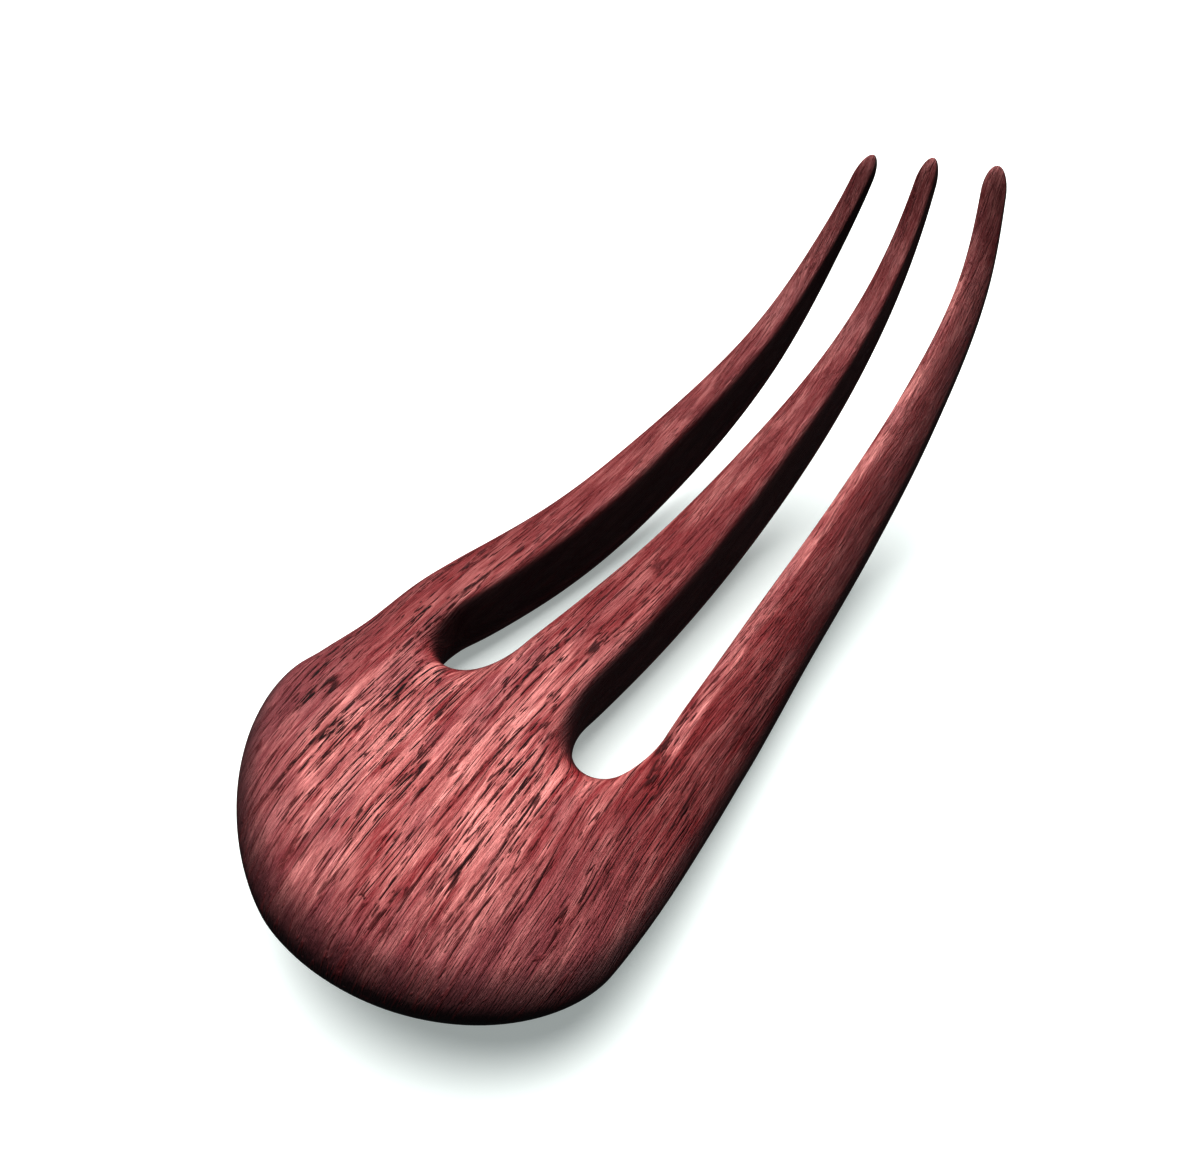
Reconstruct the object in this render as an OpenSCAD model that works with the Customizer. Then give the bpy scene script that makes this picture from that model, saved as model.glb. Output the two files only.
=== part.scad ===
// Three-pronged hair fork, carved from one piece of wood.
// The flat pattern is drawn first: x runs across the fork and s along it, from the head's end to the tips.
// Each cross-section is then a rounded slab between the pattern's edge and a spine inside it,
// and the whole fork is bent along its length. It stands on its curved belly with the tips up.

/* [Overall] */
// Length along the bend, from the head's end to the tips
fork_len = 125; // [110:1:140]
// Width across the head
head_w = 45.8; // [42:0.2:54]
// Width across the three tips
tip_spread = 20; // [17:0.2:26]

/* [Head] */
// Length of the rounded end, up to the widest point
head_round = 16.1; // [13:0.1:20]
// Fullness of the rounded end: 2 is an ellipse
head_fullness = 1.75; // [1.6:0.05:2.4]
// Thickness of the head
head_t = 7.6; // [5:0.1:9]

/* [Slots] */
// Distance from the head's end to the slots
slot_start = 26.5; // [26:0.5:34]
// Length of each slot's round end
slot_round = 6.9; // [4:0.1:8]

/* [Tines] */
// Width of an outer tine where the slots begin
outer_root_w = 6.6; // [5:0.1:7.5]
// Width of an outer tine near its point
outer_tip_w = 2.9; // [2:0.1:3.4]
// Width of the middle tine where the slots begin
mid_root_w = 10.2; // [7:0.1:11]
// Width of the middle tine near its point
mid_tip_w = 2.5; // [2:0.1:3.4]
// Length of the rounded point
point_len = 3.3; // [2:0.1:5]
// Thickness of the fork at its belly, a little past the slots' round ends
belly_t = 9.6; // [8:0.1:11]
// Thickness of the tines near their points
tip_t = 1.8; // [1.4:0.1:3]

/* [Edges] */
// Width over which the head's rim rolls down from its top
rim_roll = 10.5; // [3:0.1:14]
// Width over which the slots' scooped round ends roll down
scoop_roll = 5; // [1.5:0.1:6]
// Width over which the head's underside rolls up to its rim
under_roll = 6; // [3:0.1:12]
// Squareness of the tines' upper edges along the slots: 2 is round, more is crisper
slot_edge_square = 9; // [2:0.1:12]
// Squareness of the left tine's outer upper edge
left_edge_square = 2.8; // [2:0.1:4]
// Squareness of the right tine's outer upper edge
right_edge_square = 1.8; // [1.7:0.1:4]
// Squareness of the tines' lower edges
under_square = 2.4; // [2:0.1:3]

/* [Bend] */
// Slope of the head, which rises away from the tines, in degrees
head_slope = 5.1; // [0:0.1:8]
// Slope of the tines at their points, in degrees
tip_slope = 65; // [35:0.5:70]
// Turn that brings the centre of mass over the belly, in degrees
rest_turn = 0.45; // [-6:0.05:6]

/* [Hand carving] */
// Extra width of the left outer tine, outwards
left_extra = 3.4; // [0:0.1:4]
// Extra width of the right outer tine, outwards
right_extra = 1; // [0:0.1:4]
// How far the right tine's ridge lies towards its slot: share of half the tine's width
right_ridge = 0.4; // [0:0.05:0.5]
// How far the tips lean to the left
tip_lean = 3.5; // [0:0.1:4]
// How much shorter the left outer tine is
left_short = 0.6; // [0:0.1:2]
// How far the head's right side reaches past its left side, each way
head_slant = 2.2; // [0:0.1:3]

/* [Hidden] */

// Number of steps: round end, shoulder, slot's leg, straight run, point and edge profile
arc_steps = 15;
shoulder_steps = 5;
leg_steps = 8;
run_steps = 28;
point_steps = 5;
edge_steps = 16;
bar_steps = arc_steps + shoulder_steps;

// Place along the fork of the spine's crossbar, a little short of the slots
bar_gap = 6;
bar_at = slot_start - bar_gap;
// Share of the way out to a tine's centre at which the crossbar ends
bar_reach = 0.8;
// Angle of a slot's round end that belongs to its leg
leg_angle = 50;
// Where the slots' straight sides begin, and where the points begin
run_start = slot_start + slot_round;
run_end = fork_len - point_len;
// Lengths over which the outer tines' extra width comes in, and the head's slant dies away
extra_ease = 24;
slant_end = 1.4 * run_start;
// Where the tines' own edges begin, short of the slots, and the length over which they come in
edge_lead = 3;
edge_ease = 12;
// Longest roll of an edge, as a share of the way in to the spine; past 1 the top has a soft ridge there
roll_limit = 1.25;
// Crowding of the stations towards the crossbar
leg_crowding = 1.4;

// Outer edge between the widest point and the tips: [share of the way, share of the width above the tips']
outer_edge = [[0, 1], [0.2, 0.72], [0.34, 0.55], [0.5, 0.44], [0.68, 0.33], [0.86, 0.21], [1, 0]];
// Taper of a tine from the slots' start to the tips: [share of the way, share of the width above the tip's]
outer_taper = [[0, 1], [0.35, 0.6], [0.7, 0.29], [1, 0]];
mid_taper = [[0, 1], [0.35, 0.56], [0.7, 0.2], [1, 0]];
// Thickness from the crossbar on: [share of the way, share of the step down to the head, the same to the tips]
thinning = [[0, 1, 0], [0.26, 0, 0], [0.58, 0, 0.06], [1, 0, 1]];
// Slope: [share of the length, share of the head's slope, share of the tips' slope]
rise = [[0, -1, 0], [0.165, -1, 0], [0.33, 0, 0], [0.5, 0, 0.15], [0.66, 0, 0.26], [0.82, 0, 0.51], [1, 0, 1]];

function clamp(t) = min(max(t, 0), 1);
function ease(t) = let (c = clamp(t)) c * c * (3 - 2 * c);
function mix(a, b, t) = a + (b - a) * t;

// A smooth curve through the points of a table's columns 0 and c; a flat one starts level.
function knot_slope(k, c, i, flat) =
    i == 0 ? (flat ? 0 : (k[1][c] - k[0][c]) / (k[1][0] - k[0][0]))
    : i == len(k) - 1 ? (k[i][c] - k[i - 1][c]) / (k[i][0] - k[i - 1][0])
    : (k[i + 1][c] - k[i - 1][c]) / (k[i + 1][0] - k[i - 1][0]);
function curve(k, x, c = 1, flat = false) =
    let (
        at = clamp(x),
        i = max([for (j = [0 : len(k) - 2]) if (at >= k[j][0]) j]),
        h = k[i + 1][0] - k[i][0],
        t = (at - k[i][0]) / h,
        a = knot_slope(k, c, i, flat) * h,
        b = knot_slope(k, c, i + 1, flat) * h
    )
    (2 * pow(t, 3) - 3 * pow(t, 2) + 1) * k[i][c] + (pow(t, 3) - 2 * pow(t, 2) + t) * a
    + (3 * pow(t, 2) - 2 * pow(t, 3)) * k[i + 1][c] + (pow(t, 3) - pow(t, 2)) * b;

// Flat pattern
function edge_x(s) =
    s < head_round
    ? head_w / 2 * pow(1 - pow(1 - s / head_round, head_fullness), 1 / head_fullness)
    : mix(tip_spread, head_w, curve(outer_edge, (s - head_round) / (fork_len - head_round), flat = true)) / 2;
function tine_way(s) = (s - slot_start) / (fork_len - slot_start);
function outer_half(s) = mix(outer_tip_w, outer_root_w, curve(outer_taper, tine_way(s))) / 2;
function mid_half(s) = mix(mid_tip_w, mid_root_w, curve(mid_taper, tine_way(s))) / 2;
function point_fade(s) = sqrt(1 - pow(clamp((s - run_end) / point_len), 2));
function tine_x(s) = edge_x(s) - outer_half(s);
function spine_x(s, side) =
    (tine_x(s) - (side == 0 ? right_ridge * outer_half(s) * point_fade(s) : 0))
    * mix(bar_reach, 1, ease((s - bar_at) / (run_start - bar_at)));
function extra_x(s, extra) =
    extra * ease((s - head_round) / extra_ease) * ease((fork_len - s) / (fork_len - head_round));
function half_t(s) =
    let (
        way = (s - bar_at) / (fork_len - bar_at),
        down = curve(thinning, way, 1, flat = true),
        out = curve(thinning, way, 2, flat = true)
    )
    (belly_t - down * (belly_t - head_t) - out * (belly_t - tip_t)) / 2 * point_fade(s);

// Stations along a tine, from the crossbar to the tip
stations = concat(
    [for (i = [1 : leg_steps]) mix(bar_at, run_start, pow(i / leg_steps, leg_crowding))],
    [for (i = [1 : run_steps]) mix(run_start, run_end, i / run_steps)],
    [for (i = [1 : point_steps]) run_end + point_len * sin(90 * i / point_steps)]
);
last = len(stations) - 1;

// Spine nodes, numbered: middle line, then for each side the crossbar and the outer tine's line
mid_count = 1 + len(stations);
side_count = bar_steps + len(stations);
function bar_id(side, i) = i == 0 ? 0 : mid_count + side * side_count + i - 1;
function tine_id(side, k) = mid_count + side * side_count + bar_steps + k;
function mid_id(k) = 1 + k;
function side_spine(side) = concat(
    [for (i = [1 : bar_steps]) [spine_x(bar_at, side) * pow(sin(90 * i / bar_steps), 2), bar_at]],
    [for (s = stations) [spine_x(s, side), s]]
);
spine = concat([[0, bar_at]], [for (s = stations) [0, s]], side_spine(0), side_spine(1));
spine_side = concat([for (i = [1 : mid_count]) 0], [for (i = [1 : side_count]) 0], [for (i = [1 : side_count]) 1]);

// Outline of one side, from the head's end round the outer tine, the slot and half of the middle tine.
// Each point is [x, s, spine node, 1 on an outer edge or 0 along the slot].
function slot_point(a) =
    let (
        s = slot_start + slot_round * (1 - sin(a)),
        outside = edge_x(s) - 2 * outer_half(s),
        inside = mid_half(s)
    )
    [(outside + inside) / 2 + (outside - inside) / 2 * cos(a), s];
function round_point(a) =
    [head_w / 2 * pow(sin(a), 2 / head_fullness), head_round * (1 - pow(cos(a), 2 / head_fullness))];
function outline(side) =
    let (extra = side == 0 ? right_extra : left_extra)
    concat(
        [for (i = [0 : arc_steps])
            let (p = round_point(90 * i / arc_steps))
            [p[0], p[1], bar_id(side, i), 1]],
        [for (i = [1 : shoulder_steps])
            let (s = mix(head_round, bar_at, i / shoulder_steps))
            [edge_x(s) + extra_x(s, extra), s, bar_id(side, arc_steps + i), 1]],
        [for (k = [0 : last])
            let (s = stations[k])
            [tine_x(s) + (outer_half(s) + extra_x(s, extra)) * point_fade(s), s, tine_id(side, k), 1]],
        [for (k = [last - 1 : -1 : leg_steps])
            let (s = stations[k])
            [tine_x(s) - outer_half(s) * point_fade(s), s, tine_id(side, k), 0]],
        [for (i = [0 : leg_steps - 1])
            let (p = slot_point(leg_angle * i / leg_steps))
            [p[0], p[1], tine_id(side, leg_steps - 1 - i), 0]],
        [for (i = [0 : bar_steps])
            let (p = slot_point(mix(leg_angle, 180 - leg_angle, i / bar_steps)))
            [p[0], p[1], bar_id(side, bar_steps - i), 0]],
        [for (i = [1 : leg_steps])
            let (p = slot_point(mix(180 - leg_angle, 180, i / leg_steps)))
            [p[0], p[1], mid_id(i - 1), 0]],
        [for (k = [leg_steps : last])
            let (s = stations[k])
            [mid_half(s) * point_fade(s), s, mid_id(k), 0]]
    );
rims = [outline(0), outline(1)];
rim_count = len(rims[0]);
// The points of the rim that are a tine's very tip
tip_rows = [bar_steps + 1 + last, rim_count - 1];

// Bend: the place and slope of the middle surface at each step along the fork
bend_step = 0.5;
bend_spare = 5;
bend_from = -bend_spare;
bend_to = fork_len + bend_spare;
function slope(s) =
    let (w = s / fork_len)
    head_slope * curve(rise, w, 1) + tip_slope * curve(rise, w, 2);
bend_path = [
    for (s = bend_from, y = bend_from, z = 0;
         s <= bend_to;
         y = y + bend_step * cos(slope(s + bend_step / 2)),
         z = z + bend_step * sin(slope(s + bend_step / 2)),
         s = s + bend_step)
    [s, y, z]
];
bend_y = [for (p = bend_path) [p[0], p[1]]];
bend_z = [for (p = bend_path) [p[0], p[2]]];

// A point of the slab, [across, along, up], in its carved and bent place; side is 0 right, 1 left
function placed(x, s, z, side) =
    let (
        way = max(s - run_start, 0) / (fork_len - run_start),
        turn = side == 0 ? 1 : -1,
        off_mid = clamp((x - mid_tip_w) / outer_root_w),
        short = side == 1 ? left_short * clamp(way) * off_mid : 0,
        slant = head_slant * turn * 2 * x / head_w * clamp(1 - s / slant_end),
        along = s - short - slant,
        across = turn * x - tip_lean * pow(way, 2),
        a = slope(along)
    )
    [across, lookup(along, bend_y) - z * sin(a), lookup(along, bend_z) + z * cos(a)];

// Edge profile: how square it is across and upwards, at a rim point and a spine point
function rolled(reach, roll) = ln(0.5) / ln(1 - (1 - sqrt(0.5)) * min(roll / reach, roll_limit));
function edge_square(p, k, side, above) =
    let (
        reach = norm([p[0], p[1]] - k),
        roll = !above ? under_roll : p[3] == 1 ? rim_roll : scoop_roll,
        outer = side == 0 ? right_edge_square : left_edge_square,
        grown_square = !above ? under_square : p[3] == 1 ? outer : slot_edge_square,
        grown = ease((p[1] - slot_start + edge_lead) / edge_ease)
    )
    [mix(rolled(reach, roll), grown_square, grown), mix(2, grown_square, grown)];
function profile_point(p, side, j) =
    let (
        a = 90 - 180 * j / edge_steps,
        k = spine[p[2]],
        square = edge_square(p, k, side, a > 0),
        out = pow(cos(a), 2 / square[0]),
        up = sign(a) * pow(abs(sin(a)), 2 / square[1])
    )
    placed(mix(k[0], p[0], out), mix(k[1], p[1], out), half_t(k[1]) * up, side);

// Points: the spine's tops, the spine's undersides, then the edge profiles of both sides
carved = concat(
    [for (i = [0 : len(spine) - 1]) placed(spine[i][0], spine[i][1], half_t(spine[i][1]), spine_side[i])],
    [for (i = [0 : len(spine) - 1]) placed(spine[i][0], spine[i][1], -half_t(spine[i][1]), spine_side[i])],
    [for (side = [0, 1]) for (p = rims[side]) for (j = [1 : edge_steps - 1]) profile_point(p, side, j)]
);

// The point's number; the head's end is shared by both sides and a tip is one point
function is_tip(i) = i == tip_rows[0] || i == tip_rows[1];
function point_id(side, i, j) =
    let (k = rims[side][i][2])
    is_tip(i) || j == 0 ? k
    : j == edge_steps ? len(spine) + k
    : 2 * len(spine) + ((i == 0 ? 0 : side) * rim_count + i) * (edge_steps - 1) + j - 1;
function two_triangles(a, b, c, d) =
    [for (t = [[a, b, c], [a, c, d]]) if (t[0] != t[1] && t[1] != t[2] && t[0] != t[2]) t];
skin = [
    for (side = [0, 1]) for (i = [0 : rim_count - 2]) for (j = [0 : edge_steps - 1])
        let (
            a = point_id(side, i, j), b = point_id(side, i + 1, j),
            c = point_id(side, i + 1, j + 1), d = point_id(side, i, j + 1)
        )
        for (t = side == 0 ? two_triangles(a, b, c, d) : two_triangles(a, d, c, b)) t
];

// Turned to its resting pose and set down: the middle of its box is over the origin
turned = [for (p = carved)
    [p[0], p[1] * cos(rest_turn) - p[2] * sin(rest_turn), p[1] * sin(rest_turn) + p[2] * cos(rest_turn)]];
function low(c) = min([for (p = turned) p[c]]);
function high(c) = max([for (p = turned) p[c]]);
set_down = -[(low(0) + high(0)) / 2, (low(1) + high(1)) / 2, low(2)];
resting = [for (p = turned) p + set_down];

module hair_fork() {
    color("#9c4a4c")
        polyhedron(points = resting, faces = skin, convexity = 6);
}

hair_fork();
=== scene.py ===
"""A three-pronged wooden hair fork, carved from one block and rubbed with oil.

The fork lies on its belly on a pale floor, with the points of its tines in the air. Its skin is
one closed surface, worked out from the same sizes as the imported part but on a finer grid, and
it rides on the frame's root body. Sizes are in millimetres until a mesh is made.
"""

import logging
from dataclasses import dataclass, field
from enum import Enum
from math import cos, pi, radians, sin

import bpy
import numpy as np
from mathutils import Matrix, Vector

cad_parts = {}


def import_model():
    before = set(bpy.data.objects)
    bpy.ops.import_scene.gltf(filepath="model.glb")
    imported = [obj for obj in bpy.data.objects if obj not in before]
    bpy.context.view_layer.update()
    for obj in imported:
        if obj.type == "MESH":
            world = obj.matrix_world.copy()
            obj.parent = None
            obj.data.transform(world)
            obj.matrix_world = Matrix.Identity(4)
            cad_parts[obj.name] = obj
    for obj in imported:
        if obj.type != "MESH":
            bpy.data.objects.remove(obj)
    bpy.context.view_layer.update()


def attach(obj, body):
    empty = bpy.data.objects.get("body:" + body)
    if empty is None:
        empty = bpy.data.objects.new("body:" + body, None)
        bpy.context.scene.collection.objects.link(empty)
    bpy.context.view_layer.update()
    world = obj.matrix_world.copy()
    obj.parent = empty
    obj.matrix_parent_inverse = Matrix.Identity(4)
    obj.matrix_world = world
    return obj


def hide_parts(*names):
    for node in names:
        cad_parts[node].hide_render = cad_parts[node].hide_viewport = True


LOG = logging.getLogger("hair_fork")
MM = 0.001
Table = tuple[tuple[float, float], ...]


class Side(Enum):
    """The two halves of the fork, told apart by the sign of x on them."""

    RIGHT = 1
    LEFT = -1


def linear(hex_colour: str) -> tuple[float, float, float, float]:
    """Turns an sRGB hex colour into linear values.

    Args:
        hex_colour: Six hex digits, with or without a leading hash.

    Returns:
        Red, green, blue and an alpha of 1.
    """
    digits = hex_colour.lstrip("#")
    srgb = np.array([int(digits[i : i + 2], 16) for i in (0, 2, 4)]) / 255
    low, high = srgb / 12.92, ((srgb + 0.055) / 1.055) ** 2.4
    return (*(float(c) for c in np.where(srgb <= 0.04045, low, high)), 1.0)


def mix(a: np.ndarray, b: np.ndarray, t: np.ndarray) -> np.ndarray:
    """Straight blend from a to b as t goes from 0 to 1."""
    return a + (b - a) * t


def ease(t: np.ndarray) -> np.ndarray:
    """Soft step, three t squared less two t cubed, level at 0 and at 1."""
    c = np.clip(t, 0, 1)
    return c * c * (3 - 2 * c)


def curve(table: Table, x: np.ndarray, level_start: bool = False) -> np.ndarray:
    """Smooth cubic through a table's points, with each point's slope taken across its neighbours.

    Args:
        table: Rows of place and value.
        x: Places to read, held within 0 and 1.
        level_start: Whether the curve leaves its first point level.

    Returns:
        The value at each place.
    """
    knots = np.array(table, float)
    xs, ys = knots[:, 0], knots[:, 1]
    slopes = np.empty_like(ys)
    slopes[1:-1] = (ys[2:] - ys[:-2]) / (xs[2:] - xs[:-2])
    slopes[0] = 0.0 if level_start else (ys[1] - ys[0]) / (xs[1] - xs[0])
    slopes[-1] = (ys[-1] - ys[-2]) / (xs[-1] - xs[-2])
    at = np.clip(np.asarray(x, float), 0, 1)
    i = np.clip(np.searchsorted(xs, at, side="right") - 1, 0, len(xs) - 2)
    gap = xs[i + 1] - xs[i]
    t = (at - xs[i]) / gap
    rise = (3 * t**2 - 2 * t**3) * (ys[i + 1] - ys[i])
    return ys[i] + rise + gap * ((t**3 - 2 * t**2 + t) * slopes[i] + (t**3 - t**2) * slopes[i + 1])


@dataclass(frozen=True)
class GridSteps:
    """Numbers of steps of the skin's grid, round the outline and over the edge.

    The steps of a leg, beside the slot's round end, grow by a power as they leave the crossbar.
    """

    arc: int = 44
    shoulder: int = 14
    leg: int = 20
    leg_power: float = 1.4
    run: int = 96
    point: int = 14
    edge: int = 44

    @property
    def bar(self) -> int:
        """Steps along half of the spine's crossbar."""
        return self.arc + self.shoulder


@dataclass(frozen=True)
class ForkSizes:
    """The fork's driving sizes, in millimetres and degrees, as in the part.

    A table's rows hold a share of the way along and the share of a size that is reached there.
    The sizes of shade, of the tines' deeper red and of the facet's highlight place the painted
    shade on rims and flanks, a deeper red along the tines and a painted highlight on the right
    tine's facet. head_lean, tine_lean, lean_from and lean_to place the grain. Only the looks use
    them.
    """

    fork_len: float = 125.0
    head_w: float = 45.8
    tip_spread: float = 20.0
    head_round: float = 16.1
    head_fullness: float = 1.75
    head_t: float = 7.6
    slot_start: float = 26.5
    slot_round: float = 6.9
    outer_root_w: float = 6.6
    outer_tip_w: float = 2.9
    mid_root_w: float = 10.2
    mid_tip_w: float = 2.5
    point_len: float = 3.3
    belly_t: float = 9.6
    tip_t: float = 1.8
    rim_roll: float = 10.5
    scoop_roll: float = 5.0
    under_roll: float = 6.0
    slot_edge_square: float = 9.0
    left_edge_square: float = 2.8
    right_edge_square: float = 1.8
    right_ridge: float = 0.4
    under_square: float = 2.4
    head_slope: float = 5.1
    tip_slope: float = 65.0
    rest_turn: float = 0.45
    left_extra: float = 3.4
    right_extra: float = 1.0
    tip_lean: float = 3.5
    left_short: float = 0.6
    head_slant: float = 2.2
    slant_reach: float = 1.4
    bar_gap: float = 6.0
    edge_lead: float = 3.0
    roll_limit: float = 1.25
    head_lean: float = 14.3
    tine_lean: float = 2.0
    lean_from: float = 16.0
    lean_to: float = 42.0
    # Painted shade on rims and flanks, where the skin turns away from the light, a deeper red along the
    # tines, and a painted highlight on the right tine's facet.
    shade_tine_ease: float = 18.0
    shade_rim_start: float = 0.6
    shade_wall_start: float = 0.86
    shade_flank_start: float = 9.5
    shade_flank_ease: float = 8.5
    shade_right: float = 0.95
    shade_left: float = 0.8
    tine_deepening: float = 0.85
    facet_highlight: float = 0.7
    facet_highlight_ease: float = 10.0
    bar_reach: float = 0.8
    leg_angle: float = 50.0
    extra_ease: float = 24.0
    edge_ease: float = 12.0
    bend_step: float = 0.5
    bend_spare: float = 5.0
    outer_edge: Table = (
        (0, 1), (0.2, 0.72), (0.34, 0.55), (0.5, 0.44), (0.68, 0.33), (0.86, 0.21), (1, 0),
    )
    outer_taper: Table = ((0, 1), (0.35, 0.6), (0.7, 0.29), (1, 0))
    mid_taper: Table = ((0, 1), (0.35, 0.56), (0.7, 0.2), (1, 0))
    thin_head: Table = ((0, 1), (0.26, 0), (0.58, 0), (1, 0))
    thin_tips: Table = ((0, 0), (0.26, 0), (0.58, 0.06), (1, 1))
    rise_head: Table = (
        (0, -1), (0.165, -1), (0.33, 0), (0.5, 0), (0.66, 0), (0.82, 0), (1, 0),
    )
    rise_tips: Table = (
        (0, 0), (0.165, 0), (0.33, 0), (0.5, 0.15), (0.66, 0.26), (0.82, 0.51), (1, 1),
    )

    @property
    def bar_at(self) -> float:
        """Place of the spine's crossbar, a little short of the slots."""
        return self.slot_start - self.bar_gap

    @property
    def run_start(self) -> float:
        """Place where the slots' straight sides begin."""
        return self.slot_start + self.slot_round

    @property
    def run_end(self) -> float:
        """Place where the rounded points begin."""
        return self.fork_len - self.point_len


@dataclass
class CarvedSkin:
    """The fork's closed skin: a rounded slab between a flat outline and a spine, then bent.

    A point of the flat pattern has x across and s along the fork. The outline runs from the
    head's end round an outer tine, the slot and half of the middle tine. Each of its points is
    joined to a node of the spine inside it by an edge profile, a superellipse from the top face
    through the edge to the underside. The second side is the first one's mirror image, apart
    from what the carver's hand left uneven.
    """

    sizes: ForkSizes = field(default_factory=ForkSizes)
    steps: GridSteps = field(default_factory=GridSteps)

    def __post_init__(self) -> None:
        """Lays out the bend as a path of small steps, each at the slope of its middle.

        The path's y and height are the running sums of the step times the slope's cosine and sine.
        """
        z = self.sizes
        self.bend_s = np.arange(-z.bend_spare, z.fork_len + z.bend_spare + z.bend_step / 2, z.bend_step)
        angle = np.radians(self.slope(self.bend_s + z.bend_step / 2))[:-1]
        self.bend_y = -z.bend_spare + np.concatenate([[0], np.cumsum(z.bend_step * np.cos(angle))])
        self.bend_z = np.concatenate([[0], np.cumsum(z.bend_step * np.sin(angle))])

    def slope(self, s: np.ndarray) -> np.ndarray:
        """Slope of the middle surface: the head's share and the tips' share added up.

        Args:
            s: Places along the fork.

        Returns:
            Degrees, upwards towards the tips.
        """
        z = self.sizes
        way = s / z.fork_len
        return z.head_slope * curve(z.rise_head, way) + z.tip_slope * curve(z.rise_tips, way)

    def edge_x(self, s: np.ndarray) -> np.ndarray:
        """Half width of the pattern: a superellipse up to the widest point, a smooth taper after it.

        Args:
            s: Places along the fork.

        Returns:
            Distance from the middle line to the outer edge.
        """
        z = self.sizes
        way = (s - z.head_round) / (z.fork_len - z.head_round)
        tapered = mix(z.tip_spread, z.head_w, curve(z.outer_edge, way, level_start=True)) / 2
        back = np.clip(1 - s / z.head_round, 0, 1)
        rounded = z.head_w / 2 * (1 - back**z.head_fullness) ** (1 / z.head_fullness)
        return np.where(s < z.head_round, rounded, tapered)

    def tine_way(self, s: np.ndarray) -> np.ndarray:
        """Share of the way from the slots' start to the tips."""
        return (s - self.sizes.slot_start) / (self.sizes.fork_len - self.sizes.slot_start)

    def outer_half(self, s: np.ndarray) -> np.ndarray:
        """Half width of an outer tine, without its extra width outwards."""
        z = self.sizes
        return mix(z.outer_tip_w, z.outer_root_w, curve(z.outer_taper, self.tine_way(s))) / 2

    def mid_half(self, s: np.ndarray) -> np.ndarray:
        """Half width of the middle tine."""
        z = self.sizes
        return mix(z.mid_tip_w, z.mid_root_w, curve(z.mid_taper, self.tine_way(s))) / 2

    def point_fade(self, s: np.ndarray) -> np.ndarray:
        """Quarter circle that closes width and thickness over the rounded point."""
        z = self.sizes
        return np.sqrt(1 - np.clip((s - z.run_end) / z.point_len, 0, 1) ** 2)

    def tine_x(self, s: np.ndarray) -> np.ndarray:
        """Distance of an outer tine's centre line from the middle line."""
        return self.edge_x(s) - self.outer_half(s)

    def spine_x(self, s: np.ndarray, side: Side) -> np.ndarray:
        """The outer tine's spine, which starts a little inside the centre line at the crossbar.

        Args:
            s: Places along the fork.
            side: The half; the right tine's spine is a ridge nearer its slot.

        Returns:
            Distance of the spine from the middle line.
        """
        z = self.sizes
        way = (s - z.bar_at) / (z.run_start - z.bar_at)
        ridge = z.right_ridge * self.outer_half(s) * self.point_fade(s) if side is Side.RIGHT else 0.0
        return (self.tine_x(s) - ridge) * mix(z.bar_reach, 1, ease(way))

    def extra_x(self, s: np.ndarray, extra: float) -> np.ndarray:
        """Extra width outwards, eased in past the widest point and out towards the tips.

        Args:
            s: Places along the fork.
            extra: The whole extra width.

        Returns:
            The share of it at each place, in millimetres.
        """
        z = self.sizes
        out = ease((z.fork_len - s) / (z.fork_len - z.head_round))
        return extra * ease((s - z.head_round) / z.extra_ease) * out

    def half_thickness(self, s: np.ndarray) -> np.ndarray:
        """Half thickness over the spine: the belly's, less the steps down to the head and the tips.

        Args:
            s: Places along the fork.

        Returns:
            Half of the thickness, closed over the point.
        """
        z = self.sizes
        way = (s - z.bar_at) / (z.fork_len - z.bar_at)
        to_head = curve(z.thin_head, way, level_start=True) * (z.belly_t - z.head_t)
        to_tips = curve(z.thin_tips, way, level_start=True) * (z.belly_t - z.tip_t)
        return (z.belly_t - to_head - to_tips) / 2 * self.point_fade(s)

    def slot_arc(self, angle: np.ndarray) -> np.ndarray:
        """The slot's round end, half an ellipse from the outer tine over to the middle one.

        Args:
            angle: Angles in radians, 0 at the outer tine and pi at the middle one.

        Returns:
            Rows of x and s.
        """
        z = self.sizes
        s = z.slot_start + z.slot_round * (1 - np.sin(angle))
        outside, inside = self.edge_x(s) - 2 * self.outer_half(s), self.mid_half(s)
        return np.stack([(outside + inside) / 2 + (outside - inside) / 2 * np.cos(angle), s], 1)

    def stations(self) -> np.ndarray:
        """Places along a tine, closer together at both ends.

        Returns:
            Places from just past the crossbar to the tip.
        """
        z, n = self.sizes, self.steps
        legs = mix(z.bar_at, z.run_start, (np.arange(1, n.leg + 1) / n.leg) ** n.leg_power)
        run = mix(z.run_start, z.run_end, np.arange(1, n.run + 1) / n.run)
        point = z.run_end + z.point_len * np.sin(pi / 2 * np.arange(1, n.point + 1) / n.point)
        return np.concatenate([legs, run, point])

    def spine(self, side: Side) -> np.ndarray:
        """Spine nodes of one side: the middle line, the crossbar, then the outer tine's line.

        Args:
            side: The half.

        Returns:
            Rows of x and s, the crossbar's middle first.
        """
        z, n = self.sizes, self.steps
        s = self.stations()
        middle = np.stack([np.zeros(len(s) + 1), np.concatenate([[z.bar_at], s])], 1)
        swing = np.sin(pi / 2 * np.arange(1, n.bar + 1) / n.bar) ** 2
        bar = np.stack([self.spine_x(z.bar_at, side) * swing, np.full(n.bar, z.bar_at)], 1)
        tine = np.stack([self.spine_x(s, side), s], 1)
        return np.concatenate([middle, bar, tine])

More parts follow.
